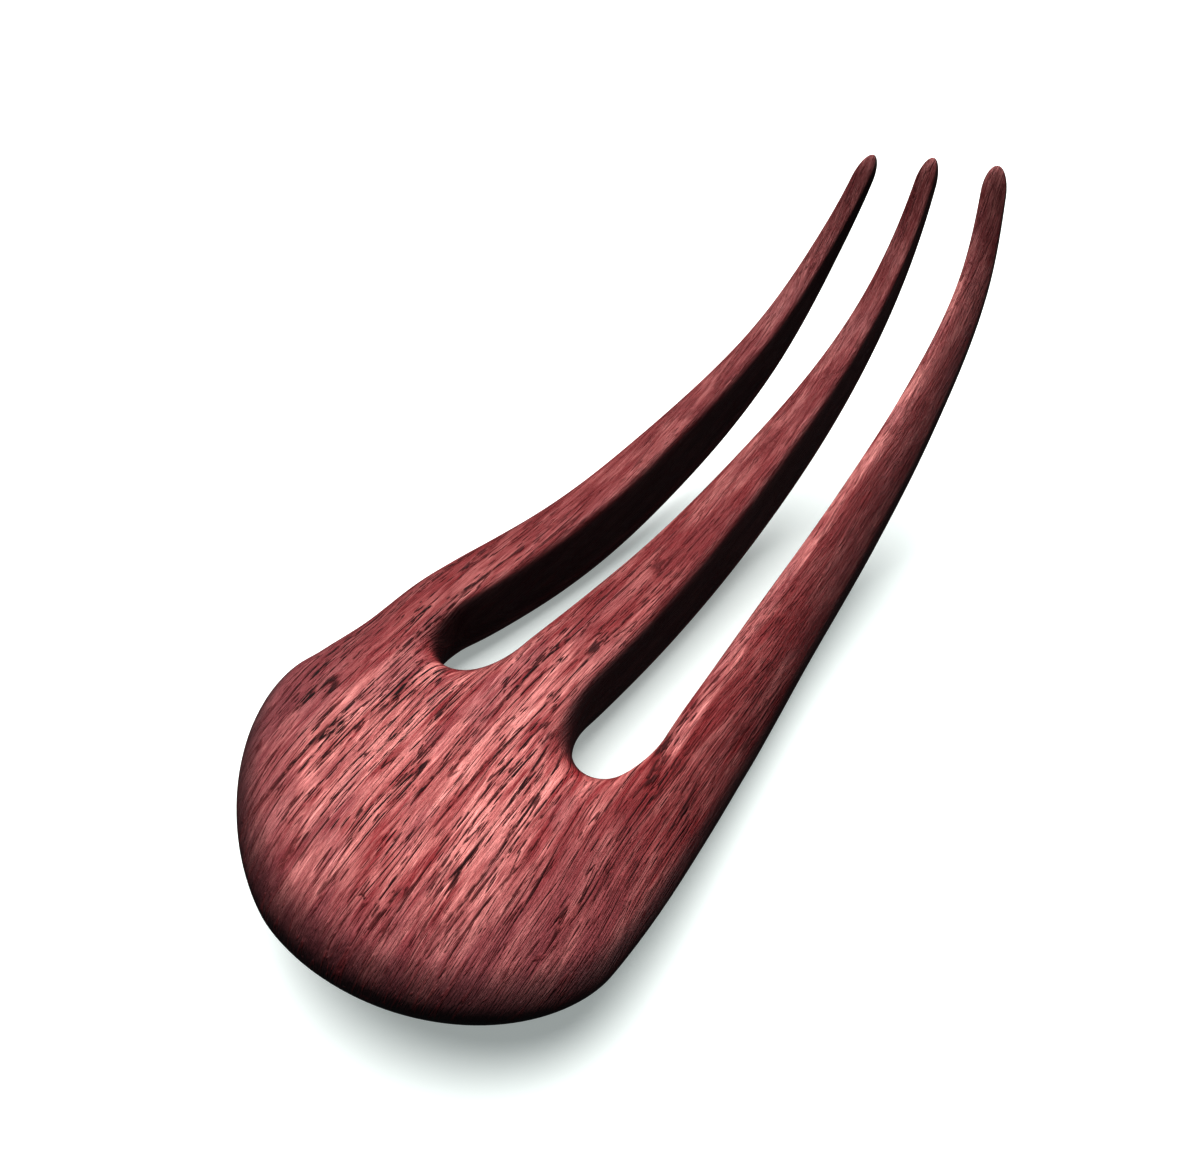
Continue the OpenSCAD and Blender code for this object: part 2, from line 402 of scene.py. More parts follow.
    def outline(self, extra: float) -> tuple[np.ndarray, np.ndarray, np.ndarray]:
        """The outline of one side and the spine node that each of its points belongs to.

        Args:
            extra: Extra width of this side's outer tine.

        Returns:
            Rows of x and s, the spine nodes' numbers, and True on an outer edge.
        """
        z, n = self.sizes, self.steps
        s = self.stations()
        bar_id = np.concatenate([[0], np.arange(n.bar) + 1 + len(s)])
        tine_id = np.arange(len(s)) + 1 + len(s) + n.bar
        mid_id = np.arange(len(s)) + 1
        turn = pi / 2 * np.arange(n.arc + 1) / n.arc
        head_x = z.head_w / 2 * np.sin(turn) ** (2 / z.head_fullness)
        head_s = z.head_round * (1 - np.clip(np.cos(turn), 0, 1) ** (2 / z.head_fullness))
        shoulder = mix(z.head_round, z.bar_at, np.arange(1, n.shoulder + 1) / n.shoulder)
        tine_edge = self.tine_x(s) + (self.outer_half(s) + self.extra_x(s, extra)) * self.point_fade(s)
        back = s[n.leg : -1][::-1]
        inner = self.tine_x(back) - self.outer_half(back) * self.point_fade(back)
        leg = radians(z.leg_angle)
        angles = [
            leg * np.arange(n.leg) / n.leg,
            mix(leg, pi - leg, np.arange(n.bar + 1) / n.bar),
            mix(pi - leg, pi, np.arange(1, n.leg + 1) / n.leg),
        ]
        ahead = s[n.leg :]
        shoulder_x = self.edge_x(shoulder) + self.extra_x(shoulder, extra)
        mid_x = self.mid_half(ahead) * self.point_fade(ahead)
        parts = [
            (np.stack([head_x, head_s], 1), bar_id[: n.arc + 1], True),
            (np.stack([shoulder_x, shoulder], 1), bar_id[n.arc + 1 :], True),
            (np.stack([tine_edge, s], 1), tine_id, True),
            (np.stack([inner, back], 1), tine_id[n.leg : -1][::-1], False),
            (self.slot_arc(angles[0]), tine_id[: n.leg][::-1], False),
            (self.slot_arc(angles[1]), bar_id[::-1], False),
            (self.slot_arc(angles[2]), mid_id[: n.leg], False),
            (np.stack([mid_x, ahead], 1), mid_id[n.leg :], False),
        ]
        points = np.concatenate([p[0] for p in parts])
        nodes = np.concatenate([p[1] for p in parts])
        outside = np.concatenate([np.full(len(p[0]), p[2]) for p in parts])
        return points, nodes, outside

    def placed(self, flat: np.ndarray, side: Side) -> np.ndarray:
        """Puts points of the flat slab in their carved and bent place.

        Args:
            flat: Rows of x, s and height over the middle surface.
            side: The half that they are on.

        Returns:
            Rows of x, y and z before the fork is turned and set down.
        """
        z = self.sizes
        x, s, up = flat[..., 0], flat[..., 1], flat[..., 2]
        way = np.maximum(s - z.run_start, 0) / (z.fork_len - z.run_start)
        off_middle = np.clip((x - z.mid_tip_w) / z.outer_root_w, 0, 1)
        short = z.left_short * np.clip(way, 0, 1) * off_middle if side is Side.LEFT else 0.0
        nose = np.clip(1 - s / (z.slant_reach * z.run_start), 0, 1)
        slant = z.head_slant * side.value * 2 * x / z.head_w * nose
        along = s - short - slant
        angle = np.radians(self.slope(along))
        y = np.interp(along, self.bend_s, self.bend_y) - up * np.sin(angle)
        height = np.interp(along, self.bend_s, self.bend_z) + up * np.cos(angle)
        return np.stack([side.value * x - z.tip_lean * way**2, y, height], -1)

    def rolled(self, reach: np.ndarray, roll: np.ndarray | float) -> np.ndarray:
        """Squareness across the slab that rolls its edge over like a quarter circle.

        At half the turn, a rim of that roll is (1 - the root of a half) of it in from the edge.

        Args:
            reach: Distances between rim and spine.
            roll: Widths of the rolled edge.

        Returns:
            Squareness at each row; 2 where the roll reaches the spine.
        """
        half_turn = 1 - 0.5**0.5
        inwards = half_turn * np.minimum(roll / reach, self.sizes.roll_limit)
        return np.log(0.5) / np.log(1 - inwards)

    def edge_profile(self, side: Side) -> tuple[np.ndarray, np.ndarray, np.ndarray]:
        """All points of one side on a grid, along the outline and over the edge.

        The share of the way out from the spine is the cosine to the power 2 / n, and the height
        is the half thickness times the sine to the power 2 / n. n is the edge's squareness.

        Args:
            side: The half to lay out.

        Returns:
            The flat slab's points by row and step, the same points with the edge laid flat for
            the grain (each is moved outwards by its drop from the top or underside) and with
            their shares of painted shade and of edge, and the spine nodes' numbers.
        """
        z = self.sizes
        extra = z.right_extra if side is Side.RIGHT else z.left_extra
        outer_square = z.right_edge_square if side is Side.RIGHT else z.left_edge_square
        rim, nodes, outside = self.outline(extra)
        spine = self.spine(side)[nodes]
        theta = np.linspace(pi / 2, -pi / 2, self.steps.edge + 1)[None, :]
        reach = np.hypot(*(rim - spine).T)
        grown = ease((rim[:, 1] - z.slot_start + z.edge_lead) / z.edge_ease)
        square = np.where(outside, outer_square, z.slot_edge_square)
        above = self.rolled(reach, np.where(outside, z.rim_roll, z.scoop_roll))
        below = self.rolled(reach, z.under_roll)
        high, low = theta > 0, z.under_square
        across = np.where(high, mix(above, square, grown)[:, None], mix(below, low, grown)[:, None])
        upward = np.where(high, mix(2, square, grown)[:, None], mix(2, low, grown)[:, None])
        out = np.clip(np.cos(theta), 0, 1) ** (2 / across)
        out[:, [0, -1]] = 0
        up = np.sign(theta) * np.abs(np.sin(theta)) ** (2 / upward)
        x = mix(spine[:, :1], rim[:, :1], out)
        s = mix(spine[:, 1:], rim[:, 1:], out)
        half = self.half_thickness(spine[:, 1:])
        drop = half * (1 - np.abs(up))
        away = (rim - spine) / reach[:, None]
        slab = np.stack([x, s, half * up], -1)
        facet = ~outside & (nodes > len(self.stations())) & (side is Side.RIGHT)
        # Shares of edge and of painted shade, the shade lighter on the right tine's facet as a painted
        # highlight.
        edge, oil = self.shade_shares(x, s, out, side, facet[:, None].astype(float))
        laid = np.stack([x + away[:, :1] * drop, s + away[:, 1:] * drop, half * up, oil, edge], -1)
        return slab, laid, nodes

    def shade_shares(
        self, x: np.ndarray, s: np.ndarray, out: np.ndarray, side: Side, facet: np.ndarray
    ) -> tuple[np.ndarray, np.ndarray]:
        """Where the skin turns over an edge, and how much painted shade darkens the wood's colour.

        Rim and flank are painted shade, where the skin turns away from the light, and the tine is a
        deeper red; each leaves a share of the wood pale, and the shares are multiplied.
        Both results are 0 on the head's crown and 1 at its rim.

        Args:
            x: Places across, outwards.
            s: Places along the fork.
            out: Shares of the way out from spine to rim.
            side: The half; the right flank's painted shade is the darker one.
            facet: 1 on the right tine's facet beside its slot, which stays paler as a painted
                highlight, and 0 elsewhere.

        Returns:
            The share of edge, on the rims and the tines' walls alone, and the share of painted
            shade and of the tines' deeper red.
        """
        z = self.sizes
        # Painted highlight: the right tine's facet, which faces the light, keeps less of the painted shade.
        kept_shade = 1 - z.facet_highlight * facet * ease((s - z.slot_start) / z.facet_highlight_ease)
        along = ease((s - z.slot_start) / z.shade_tine_ease)
        start = mix(z.shade_rim_start, z.shade_wall_start, along)
        rim = ease((out - start) / (1 - start))
        depth = z.shade_right if side is Side.RIGHT else z.shade_left
        flank = depth * ease((x - z.shade_flank_start) / z.shade_flank_ease)
        tine = z.tine_deepening * along
        return rim, 1 - (1 - rim * kept_shade) * (1 - flank * kept_shade) * (1 - tine * kept_shade)

    def grain_drift(self, s: np.ndarray) -> np.ndarray:
        """How far the grain has drifted to the left at places along the fork.

        It is the running sum of the tangent of the grain's lean, which is larger on the head
        than on the tines.

        Args:
            s: Places along the fork.

        Returns:
            Drift in millimetres.
        """
        z = self.sizes
        path = np.arange(-z.bend_spare, z.fork_len + z.bend_spare, z.bend_step)
        easing = ease((path - z.lean_from) / (z.lean_to - z.lean_from))
        lean = np.tan(np.radians(mix(z.head_lean, z.tine_lean, easing)))
        return np.interp(s, path, np.cumsum(lean) * z.bend_step)

    def numbered(self, nodes: np.ndarray, side: Side, spine_count: int) -> np.ndarray:
        """Numbers of one side's points in the mesh, so that shared points are one.

        The spine's tops come first, then its undersides, then the rows between them. The row at
        the head's end belongs to both sides, and a tine's tip is one point.

        Args:
            nodes: Spine node of each row.
            side: The half.
            spine_count: Number of spine nodes of both halves.

        Returns:
            Point numbers by row and step.
        """
        n = self.steps
        stations = len(self.stations())
        own = nodes + (n.bar + stations if side is Side.LEFT else 0) * (nodes > stations)
        rows = np.arange(len(nodes))[:, None] + (len(nodes) if side is Side.LEFT else 0)
        rows[0] = 0
        inside = 2 * spine_count + rows * (n.edge - 1) + np.arange(n.edge - 1)[None, :]
        ids = np.concatenate([own[:, None], inside, own[:, None] + spine_count], 1)
        tips = [n.bar + stations, len(nodes) - 1]
        ids[tips] = own[tips, None]
        return ids

    def build(self) -> tuple[np.ndarray, np.ndarray, np.ndarray]:
        """Joins both sides into one closed skin, turned and set down as the fork lies.

        Returns:
            Points in metres, triangles, and for each point its place in the grain in millimetres
            with its shares of painted shade and of edge.
        """
        stations = len(self.stations())
        count = 2 * len(self.spine(Side.RIGHT)) - stations - 1
        rows = len(self.edge_profile(Side.RIGHT)[2])
        total = 2 * count + 2 * rows * (self.steps.edge - 1)
        bent, grain = np.zeros((total, 3)), np.zeros((total, 5))
        faces = []
        for side in (Side.LEFT, Side.RIGHT):
            grid, laid, nodes = self.edge_profile(side)
            ids = self.numbered(nodes, side, count)
            bent[ids] = self.placed(grid, side)
            grain[ids] = laid * [side.value, 1, 1, 1, 1]
            grain[ids, 0] += self.grain_drift(laid[..., 1])
            a, b, c, d = ids[:-1, :-1], ids[1:, :-1], ids[1:, 1:], ids[:-1, 1:]
            near, far = (b, d) if side is Side.RIGHT else (d, b)
            faces += [np.stack([a, near, c], -1).reshape(-1, 3), np.stack([a, c, far], -1).reshape(-1, 3)]
        triangles = np.concatenate(faces)
        apart = triangles != np.roll(triangles, 1, axis=1)
        triangles = triangles[apart.all(axis=1)]
        used, triangles = np.unique(triangles, return_inverse=True)
        return self.set_down(bent[used]) * MM, triangles.reshape(-1, 3), grain[used]

    def set_down(self, points: np.ndarray) -> np.ndarray:
        """Turns the fork about x as it rests, and puts its box's bottom middle at the origin.

        Args:
            points: Rows of x, y and z.

        Returns:
            The same rows, turned and moved.
        """
        turn = radians(self.sizes.rest_turn)
        turned = points @ np.array(Matrix.Rotation(turn, 3, "X")).T
        low, high = turned.min(axis=0), turned.max(axis=0)
        return turned - [(low[0] + high[0]) / 2, (low[1] + high[1]) / 2, low[2]]


class NodeBench:
    """The node tree of a material or a world, cleared and ready to be wired."""

    def __init__(self, owner: bpy.types.Material | bpy.types.World) -> None:
        """Clears the owner's tree.

        Args:
            owner: The new material or world.
        """
        owner.use_nodes = True
        self.tree = owner.node_tree
        self.tree.nodes.clear()

    def add(self, kind: str, inputs: dict | None = None, **settings: object) -> bpy.types.Node:
        """Adds a node with its settings and what goes into its sockets.

        Args:
            kind: The node's Blender type.
            inputs: Input name or number to the socket that feeds it, a constant or a hex colour.
            **settings: Attributes of the node itself.

        Returns:
            The new node.
        """
        node = self.tree.nodes.new(kind)
        for key, value in settings.items():
            setattr(node, key, value)
        for key, value in (inputs or {}).items():
            if isinstance(value, bpy.types.NodeSocket):
                self.tree.links.new(value, node.inputs[key])
            else:
                node.inputs[key].default_value = linear(value) if isinstance(value, str) else value
        return node


@dataclass(frozen=True)
class Fade:
    """A mask's way from a first level to a last one, while a value goes from start to end."""

    start: float
    end: float
    first: float = 0.0
    last: float = 1.0

    def of(self, value: bpy.types.NodeSocket) -> dict:
        """The inputs of a range node that fades a mask by a value."""
        reach = {"From Min": self.start, "From Max": self.end}
        return {"Value": value, **reach, "To Min": self.first, "To Max": self.last}


@dataclass(frozen=True)
class Pattern:
    """A pattern's cell in millimetres, across the grain and along it."""

    wide: float
    long: float


@dataclass(frozen=True)
class Clouds(Pattern):
    """Soft streaks: a noise, faded between two of its values."""

    fade: Fade
    detail: float = 2.0


@dataclass(frozen=True)
class Lines(Pattern):
    """Long thin lines where a noise crosses its middle value, broken up by streaks."""

    half_width: float
    breaks: Clouds


@dataclass(frozen=True)
class Dashes(Pattern):
    """Slim grains of dark, their half width as a share of a cell, in a share of the cells."""

    reach: float
    share: float


@dataclass(frozen=True)
class GrainSockets:
    """What the wood reads at each point of the mesh.

    It has the place in the wandering grain, the straight places across and along it in
    millimetres, and the shares of painted shade and of edge.
    """

    place: bpy.types.NodeSocket
    across: bpy.types.NodeSocket
    along: bpy.types.NodeSocket
    # Share of painted shade on rims and flanks, and of a deeper red along the tines.
    oil: bpy.types.NodeSocket
    edge: bpy.types.NodeSocket


@dataclass(frozen=True)
class OiledPadauk:
    """Padauk heartwood, cut, scraped, sanded and rubbed with oil.

    Its open vessels stay as dark dashes along the grain. Ribbons of salmon and mauve lie
    between them, fine fibres cross them with a silky line, and the end grain drinks more oil
    and goes dark; at the nose that dark is also painted shade on the rim. Rims and flanks
    carry painted shade, with a painted mauve sheen at the nose, and the right tine's facet a
    painted highlight. Vessels are as wide as real ones, a fifth of a millimetre, and fibres are
    drawn coarser, so that they show. Patterns are in millimetres, and so are fades by the
    place across or along.
    """

    deep_red: str = "#78191D"
    heart_red: str = "#8F3538"
    salmon: str = "#E59B95"
    mauve: str = "#93595E"
    # Painted sheen: a cool mauve on the nose's rolled rim, standing in for the pale surroundings it
    # reflects.
    nose_sheen_mauve: str = "#804247"
    pore_dark: str = "#1A0407"
    # Dark of end grain, and of painted shade on the rims and at the nose.
    end_grain_and_shade_dark: str = "#1C090D"
    grain_turn: float = ForkSizes.head_lean
    depth_share: float = 5.0
    cloud_roughness: float = 0.55
    wander: Pattern = Pattern(5.0, 14.0)
    wander_reach: tuple[float, float, float] = (0.9, 0.0, 0.9)
    plank: Clouds = Clouds(1.5, 10.0, Fade(0.40, 0.60))
    ribbon: Clouds = Clouds(0.45, 4.5, Fade(0.42, 0.58, 0.0, 0.45))
    patch: Clouds = Clouds(4.0, 8.0, Fade(0.50, 0.62, 0.0, 0.35))
    fibre: Clouds = Clouds(0.15, 2.4, Fade(0.36, 0.66), detail=3.0)
    quiet: Clouds = Clouds(7.0, 14.0, Fade(0.36, 0.52, 0.6, 1.0))
    line: Lines = Lines(1.1, 24.0, 0.040, Clouds(0.40, 1.5, Fade(0.42, 0.52, 0.35, 1.0)))
    thread: Lines = Lines(0.55, 11.0, 0.034, Clouds(0.40, 1.5, Fade(0.42, 0.52, 0.0, 0.8)))
    pore: Dashes = Dashes(0.36, 3.6, 0.31, 0.9)
    pit: Dashes = Dashes(0.85, 2.6, 0.20, 0.6)
    tear: Pattern = Pattern(0.14, 0.7)
    tear_share: float = 0.5
    dash_core: float = 0.6
    chance_fade: float = 0.2
    line_core: float = 0.3
    plank_tint: float = 0.55
    fibre_tint: float = 0.36
    # How much painted shade each plank takes, less on the pale planks.
    shade_by_plank: Fade = Fade(0.0, 1.0, 0.95, 0.665)
    flank_by_across: Fade = Fade(-20.0, -8.0, 0.75, 0.0)
    pits_by_across: Fade = Fade(-12.0, 6.0, 1.0, 0.3)
    marks_by_across: Fade = Fade(6.0, 26.0, 1.0, 0.85)
    marks_by_along: Fade = Fade(30.0, 60.0, 1.0, 0.45)
    marks_by_edge: Fade = Fade(0.0, 1.0, 1.0, 0.4)
    # Where the nose's painted mauve sheen fades out.
    nose_sheen_by_along: Fade = Fade(8.0, 28.0, 1.0, 0.0)
    # End grain is darkest at the nose, where it also paints shade on the rolled rim.
    ends_by_along: Fade = Fade(8.0, 28.0, 0.9, 0.27)
    ends_by_facing: Fade = Fade(0.55, 0.85)
    # Painted shade where the skin rolls over an edge.
    rim_shade_by_edge: Fade = Fade(0.7, 1.0, 0.0, 0.75)
    dull_by_marks: Fade = Fade(0.0, 1.0, 0.5, 0.8)
    pore_depth_mm: float = 0.35
    core_power: float = 1.6
    fibre_relief: float = -0.4
    ior: float = 1.5
    specular: float = 0.26

    def cells(self, pattern: Pattern) -> tuple[float, float, float]:
        """A pattern's cells per millimetre across the grain, along it and into the wood."""
        return 1 / pattern.wide, 1 / pattern.long, 1 / (self.depth_share * pattern.wide)

    def noise(
        self,
        bench: NodeBench,
        place: bpy.types.NodeSocket,
        pattern: Pattern,
        detail: float = 1.0,
        roughness: float = 0.5,
    ) -> bpy.types.Node:
        """Noise stretched along the grain to the cell of a pattern.

        Args:
            bench: The node tree.
            place: Place in the grain.
            pattern: The pattern.
            detail: Octaves of finer noise.
            roughness: Strength of each octave over the one before it.

        Returns:
            The noise's node.
        """
        spread = bench.add("ShaderNodeVectorMath", {0: place, 1: self.cells(pattern)}, operation="MULTIPLY")
        look = {"Scale": 1.0, "Detail": detail, "Roughness": roughness}
        return bench.add("ShaderNodeTexNoise", {"Vector": spread.outputs[0], **look})

    def clouds(
        self, bench: NodeBench, place: bpy.types.NodeSocket, pattern: Clouds
    ) -> bpy.types.NodeSocket:
        """Soft streaks along the grain, as a mask between the two levels of the pattern's fade."""
        noise = self.noise(bench, place, pattern, pattern.detail, self.cloud_roughness)
        return bench.add("ShaderNodeMapRange", pattern.fade.of(noise.outputs[0])).outputs[0]

    def lines(
        self, bench: NodeBench, place: bpy.types.NodeSocket, pattern: Lines
    ) -> bpy.types.NodeSocket:
        """Long thin lines along the grain, where a stretched noise crosses its middle value.

        Args:
            bench: The node tree.
            place: Place in the grain.
            pattern: Spacing, width and breaks of the lines.

        Returns:
            The mask, 1 on a line and less where it breaks off.
        """
        noise = self.noise(bench, place, pattern, detail=0.0)
        off = bench.add("ShaderNodeMath", {0: noise.outputs[0], 1: 0.5}, operation="SUBTRACT")
        gap = bench.add("ShaderNodeMath", {0: off.outputs[0]}, operation="ABSOLUTE")
        thin = Fade(pattern.half_width, self.line_core * pattern.half_width)
        line = bench.add("ShaderNodeMapRange", thin.of(gap.outputs[0]), interpolation_type="SMOOTHSTEP")
        breaks = self.clouds(bench, place, pattern.breaks)
        return bench.add("ShaderNodeMath", {0: line.outputs[0], 1: breaks}, operation="MULTIPLY").outputs[0]

    def dashes(
        self, bench: NodeBench, place: bpy.types.NodeSocket, pattern: Dashes
    ) -> bpy.types.NodeSocket:
        """Slim grains of dark with torn edges, scattered along the grain.

        Args:
            bench: The node tree.
            place: Place in the grain.
            pattern: Size and number of the dashes.

        Returns:
            The mask, 1 inside and 0 outside.
        """
        spread = bench.add("ShaderNodeVectorMath", {0: place, 1: self.cells(pattern)}, operation="MULTIPLY")
        look = {"Scale": 1.0, "Randomness": 1.0}
        cell = bench.add("ShaderNodeTexVoronoi", {"Vector": spread.outputs[0], **look}, feature="F1")
        chance = bench.add("ShaderNodeSeparateColor", {0: cell.outputs["Color"]}).outputs[0]
        torn = self.noise(bench, place, self.tear).outputs[0]
        ragged = bench.add(
            "ShaderNodeMath",
            {0: torn, 1: self.tear_share * pattern.reach, 2: cell.outputs["Distance"]},
            operation="MULTIPLY_ADD",
        ).outputs[0]
        inside = Fade(pattern.reach, self.dash_core * pattern.reach)
        mask = bench.add("ShaderNodeMapRange", inside.of(ragged), interpolation_type="SMOOTHSTEP").outputs[0]
        some = Fade(1 - pattern.share, 1 - pattern.share + self.chance_fade)
        held = bench.add("ShaderNodeMapRange", some.of(chance)).outputs[0]
        return bench.add("ShaderNodeMath", {0: mask, 1: held}, operation="MULTIPLY").outputs[0]

    def sockets(self, bench: NodeBench) -> GrainSockets:
        """Reads the mesh's attributes and lets the grain wander a little.

        Args:
            bench: The node tree.

        Returns:
            The sockets that the patterns use.
        """
        # The shade share carries painted shade on rims and flanks and the tines' deeper red.
        names = ("grain_place", "shade_share", "edge_share")
        grain, oil, edge = (bench.add("ShaderNodeAttribute", attribute_name=name) for name in names)
        straight = grain.outputs["Vector"]
        swing = self.noise(bench, straight, self.wander).outputs["Color"]
        middle = bench.add("ShaderNodeVectorMath", {0: swing, 1: (0.5, 0.5, 0.5)}, operation="SUBTRACT")
        shift = bench.add(
            "ShaderNodeVectorMath", {0: middle.outputs[0], 1: self.wander_reach}, operation="MULTIPLY"
        )
        place = bench.add("ShaderNodeVectorMath", {0: straight, 1: shift.outputs[0]}, operation="ADD")
        axes = bench.add("ShaderNodeSeparateXYZ", {0: straight}).outputs
        return GrainSockets(place.outputs[0], axes[0], axes[1], oil.outputs["Fac"], edge.outputs["Fac"])

    def marks(self, bench: NodeBench, at: GrainSockets) -> bpy.types.NodeSocket:
        """Open vessels: pores, pits, lines and threads, fewer where the wood is quiet or rubbed smooth.

        Args:
            bench: The node tree.
            at: The mesh's sockets.

        Returns:
            The mask of their darkness and depth.
        """
        pits = self.dashes(bench, at.place, self.pit)
        here = bench.add("ShaderNodeMapRange", self.pits_by_across.of(at.across)).outputs[0]
        kinds = (
            bench.add("ShaderNodeMath", {0: pits, 1: here}, operation="MULTIPLY").outputs[0],
            self.lines(bench, at.place, self.line),
            self.lines(bench, at.place, self.thread),
        )
        dark = self.dashes(bench, at.place, self.pore)
        for kind in kinds:
            dark = bench.add("ShaderNodeMath", {0: dark, 1: kind}, operation="MAXIMUM").outputs[0]
        board = self.marks_by_across.of(at.across)
        shares = (
            bench.add("ShaderNodeMapRange", board, interpolation_type="SMOOTHSTEP").outputs[0],
            self.clouds(bench, at.place, self.quiet),
            bench.add("ShaderNodeMapRange", self.marks_by_along.of(at.along)).outputs[0],
            bench.add("ShaderNodeMapRange", self.marks_by_edge.of(at.edge)).outputs[0],
        )
        for share in shares:
            dark = bench.add("ShaderNodeMath", {0: dark, 1: share}, operation="MULTIPLY").outputs[0]
        return dark

    def ends(self, bench: NodeBench, at: GrainSockets) -> bpy.types.NodeSocket:
        """End grain, where cut fibre ends face along the grain and drink the oil, mostly at the nose,
        where the dark also paints shade on the rolled rim.

        Args:
            bench: The node tree.
            at: The mesh's sockets.

        Returns:
            The mask, 0 on long grain.
        """
        turn = radians(self.grain_turn)
        way = (-sin(turn), cos(turn), 0.0)
        normal = bench.add("ShaderNodeNewGeometry").outputs["Normal"]
        facing = bench.add("ShaderNodeVectorMath", {0: normal, 1: way}, operation="DOT_PRODUCT")
        size = bench.add("ShaderNodeMath", {0: facing.outputs["Value"]}, operation="ABSOLUTE").outputs[0]
        cut = bench.add(
            "ShaderNodeMapRange", self.ends_by_facing.of(size), interpolation_type="SMOOTHSTEP"
        ).outputs[0]
        nose = bench.add("ShaderNodeMapRange", self.ends_by_along.of(at.along)).outputs[0]
        return bench.add("ShaderNodeMath", {0: cut, 1: nose}, operation="MULTIPLY").outputs[0]

    def colour(
        self, bench: NodeBench, at: GrainSockets, fibre: bpy.types.NodeSocket, dark: bpy.types.NodeSocket
    ) -> bpy.types.NodeSocket:
        """Lays the wood's tints, painted shade and painted sheen over heart red, each by its own mask.

        Args:
            bench: The node tree.
            at: The mesh's sockets.
            fibre: Mask of the fine fibres.
            dark: Mask of the open vessels.

        Returns:
            The colour.
        """
        plank = self.clouds(bench, at.place, self.plank)
        ribbon = self.clouds(bench, at.place, self.ribbon)
        inputs = {0: plank, 1: self.plank_tint, 2: ribbon}
        pale = bench.add("ShaderNodeMath", inputs, operation="MULTIPLY_ADD").outputs[0]
        flank = bench.add("ShaderNodeMapRange", self.flank_by_across.of(at.across)).outputs[0]
        fine = bench.add("ShaderNodeMath", {0: fibre, 1: self.fibre_tint}, operation="MULTIPLY").outputs[0]
        # Painted shade of rims and flanks and the tines' deeper red, less on pale planks; at the nose its
        # tint turns to a painted mauve sheen.
        shade_on_plank = bench.add("ShaderNodeMapRange", self.shade_by_plank.of(plank)).outputs[0]
        painted_shade = bench.add("ShaderNodeMath", {0: at.oil, 1: shade_on_plank}, operation="MULTIPLY").outputs[0]
        nose = bench.add("ShaderNodeMapRange", self.nose_sheen_by_along.of(at.along)).outputs[0]
        tints = {"Factor": nose, 6: self.deep_red, 7: self.nose_sheen_mauve}
        oiled = bench.add("ShaderNodeMix", tints, data_type="RGBA").outputs[2]
        # Painted shade where the skin rolls over an edge.
        rim_shade = bench.add("ShaderNodeMapRange", self.rim_shade_by_edge.of(at.edge)).outputs[0]
        core = bench.add("ShaderNodeMath", {0: dark, 1: self.core_power}, operation="POWER").outputs[0]
        layers = (
            (pale, self.salmon),
            (self.clouds(bench, at.place, self.patch), self.mauve),
            (flank, self.mauve),
            (fine, self.deep_red),
            (painted_shade, oiled),
            (rim_shade, self.end_grain_and_shade_dark),
            (self.ends(bench, at), self.end_grain_and_shade_dark),
            (dark, self.deep_red),
            (core, self.pore_dark),
        )
        colour = self.heart_red
        for share, tint in layers:
            tints = {"Factor": share, 6: colour, 7: tint}
            colour = bench.add("ShaderNodeMix", tints, data_type="RGBA").outputs[2]
        return colour

    def make(self) -> bpy.types.Material:
        """Wires the wood: its colour, the hollows of vessels and fibres, and a dull sheen.

        Returns:
            The material.
        """
        material = bpy.data.materials.new("oiled_padauk")
        bench = NodeBench(material)
        at = self.sockets(bench)
        fibre = self.clouds(bench, at.place, self.fibre)
        dark = self.marks(bench, at)
        hollow = bench.add("ShaderNodeMath", {0: dark, 1: -1.0}, operation="MULTIPLY").outputs[0]
        relief = {0: fibre, 1: self.fibre_relief, 2: hollow}
        height = bench.add("ShaderNodeMath", relief, operation="MULTIPLY_ADD").outputs[0]
        depth = {"Strength": 1.0, "Distance": self.pore_depth_mm * MM}
        shader = bench.add(
            "ShaderNodeBsdfPrincipled",
            {
                "Base Color": self.colour(bench, at, fibre, dark),
                "Roughness": bench.add("ShaderNodeMapRange", self.dull_by_marks.of(dark)).outputs[0],
                "Normal": bench.add("ShaderNodeBump", {"Height": height, **depth}).outputs[0],
                "IOR": self.ior,
                "Specular IOR Level": self.specular,
            },
        )
        bench.add("ShaderNodeOutputMaterial", {"Surface": shader.outputs[0]})
        return material


@dataclass(frozen=True)
class PaleCard:
    """Matt white sheet whose faint glow, painted light from no lamp, gives the eye a pale, cool shadow."""

    white: str = "#D0D3D1"
    glow: str = "#E0E8E6"
    glow_strength: float = 0.49
    roughness: float = 0.85

    def make(self) -> bpy.types.Material:
        """Wires the card, plain and matt.

        Returns:
            The material.
        """
        material = bpy.data.materials.new("pale_card")
        bench = NodeBench(material)
        shader = bench.add(
            "ShaderNodeBsdfPrincipled",
            {
                "Base Color": self.white,
                "Roughness": self.roughness,
                "Emission Color": self.glow,
                "Emission Strength": self.glow_strength,
            },
        )
        bench.add("ShaderNodeOutputMaterial", {"Surface": shader.outputs[0]})
        return material


def mesh_object(
    name: str, points: np.ndarray, faces: np.ndarray, material: bpy.types.Material
) -> bpy.types.Object:
    """Makes a smooth-shaded mesh object at the origin.

    Args:
        name: The object's name.
        points: Rows of x, y and z in metres.
        faces: Rows of point numbers.
        material: Its material.

    Returns:
        The object, linked to the scene.
    """
    mesh = bpy.data.meshes.new(name)
    mesh.from_pydata(points, [], faces)
    mesh.polygons.foreach_set("use_smooth", np.ones(len(faces), bool))
    mesh.materials.append(material)
    mesh.update()
    piece = bpy.data.objects.new(name, mesh)
    bpy.context.scene.collection.objects.link(piece)
    return piece


